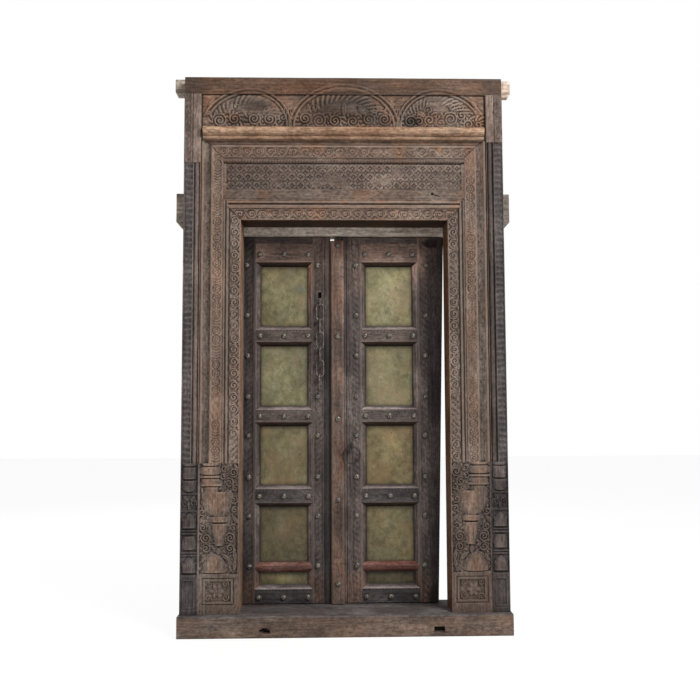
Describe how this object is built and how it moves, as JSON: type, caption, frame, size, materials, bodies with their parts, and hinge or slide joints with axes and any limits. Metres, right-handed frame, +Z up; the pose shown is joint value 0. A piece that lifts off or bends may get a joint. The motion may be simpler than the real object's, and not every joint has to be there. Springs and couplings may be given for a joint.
{
  "type": "carved temple door with frame",
  "caption": "Carved timber doorway surround with a pair of pivot-hung panelled leaves, brass sheet panels, iron studs, a hasp chain and a pull ring.",
  "frame": {"origin": "on the underside of the sill, at the middle of the door's width, in the plane of the jambs' carved face", "axes": "+X along the door to the right as seen from the carved front, +Y into the doorway, +Z up"},
  "size_m": [1.508, 0.29, 2.412],
  "materials": {
    "surround_timber": "weathered, carved, dry",
    "dark_timber": "weathered, darkened, dry",
    "cornice_timber": "weathered, worn to a lighter brown",
    "beam_timber": "rough sawn, greyed",
    "leaf_timber": "old, dark, carved",
    "red_timber": "red brown, worn",
    "aged_brass": "dull green-gold patina, stained",
    "forged_iron": "forged, dark, lightly rusted"
  },
  "bodies": {
    "frame": {"sill": "surround_timber", "left_jamb": "surround_timber", "right_jamb": "surround_timber", "left_pilaster": "dark_timber", "right_pilaster": "dark_timber", "left_capital": "dark_timber", "right_capital": "dark_timber", "lintel": "surround_timber", "lattice_panel": "surround_timber", "head_architrave": "surround_timber", "cornice": "cornice_timber", "frieze": "surround_timber", "top_rail": "surround_timber", "top_beam": "beam_timber", "tie_plank": "beam_timber", "pivot_beam": "beam_timber"},
    "left_leaf": {"left_meeting_stile": "leaf_timber", "left_hanging_stile": "leaf_timber", "left_edge_strip": "leaf_timber", "left_hanging_board": "leaf_timber", "left_meeting_board": "leaf_timber", "left_bottom_rail": "leaf_timber", "left_lower_rail": "leaf_timber", "left_middle_rail": "leaf_timber", "left_upper_rail": "leaf_timber", "left_top_rail": "leaf_timber", "left_round_bar": "red_timber", "left_brass_panel_1": "aged_brass", "left_brass_panel_2": "aged_brass", "left_brass_panel_3": "aged_brass", "left_brass_panel_4": "aged_brass", "left_brass_panel_5": "aged_brass", "left_studs": "forged_iron", "chain_staple": "forged_iron"},
    "right_leaf": {"right_meeting_stile": "leaf_timber", "right_hanging_stile": "leaf_timber", "right_edge_strip": "leaf_timber", "right_hanging_board": "leaf_timber", "right_meeting_board": "leaf_timber", "right_bottom_rail": "leaf_timber", "right_lower_rail": "leaf_timber", "right_middle_rail": "leaf_timber", "right_upper_rail": "leaf_timber", "right_top_rail": "leaf_timber", "right_round_bar": "red_timber", "right_brass_panel_1": "aged_brass", "right_brass_panel_2": "aged_brass", "right_brass_panel_3": "aged_brass", "right_brass_panel_4": "aged_brass", "right_brass_panel_5": "aged_brass", "right_studs": "forged_iron", "astragal": "leaf_timber", "ring_staple": "forged_iron"},
    "ring": {"pull_ring": "forged_iron"},
    "link_1": {"chain_link_1": "forged_iron"},
    "link_2": {"chain_link_2": "forged_iron"},
    "link_3": {"chain_link_3": "forged_iron"},
    "link_4": {"chain_link_4": "forged_iron"},
    "link_5": {"chain_link_5": "forged_iron"},
    "link_6": {"chain_link_6": "forged_iron"}
  },
  "joints": [
    {"name": "left_leaf_swing", "type": "hinge", "parent": "frame", "child": "left_leaf", "pos_m": [-0.467, 0.221, 0.09], "axis": [0, 0, 1], "range_deg": [0, 90]},
    {"name": "right_leaf_swing", "type": "hinge", "parent": "frame", "child": "right_leaf", "pos_m": [0.402, 0.221, 0.09], "axis": [0, 0, -1], "range_deg": [0, 90]},
    {"name": "ring_swing", "type": "hinge", "parent": "right_leaf", "child": "ring", "pos_m": [0.033, 0.15, 0.778], "axis": [-1, 0, 0], "range_deg": [0, 150]},
    {"name": "link_1_swing", "type": "hinge", "parent": "left_leaf", "child": "link_1", "pos_m": [-0.108, 0.1535, 1.4165], "axis": [-1, 0, 0], "range_deg": [0, 40]},
    {"name": "link_2_swing", "type": "hinge", "parent": "link_1", "child": "link_2", "pos_m": [-0.108, 0.1535, 1.3435], "axis": [-1, 0, 0], "range_deg": [0, 40]},
    {"name": "link_3_swing", "type": "hinge", "parent": "link_2", "child": "link_3", "pos_m": [-0.108, 0.1535, 1.2899], "axis": [-1, 0, 0], "range_deg": [0, 40]},
    {"name": "link_4_swing", "type": "hinge", "parent": "link_3", "child": "link_4", "pos_m": [-0.108, 0.1535, 1.2169], "axis": [-1, 0, 0], "range_deg": [0, 40]},
    {"name": "link_5_swing", "type": "hinge", "parent": "link_4", "child": "link_5", "pos_m": [-0.108, 0.1535, 1.1633], "axis": [-1, 0, 0], "range_deg": [0, 40]},
    {"name": "link_6_swing", "type": "hinge", "parent": "link_5", "child": "link_6", "pos_m": [-0.108, 0.1535, 1.0903], "axis": [-1, 0, 0], "range_deg": [0, 40]}
  ]
}
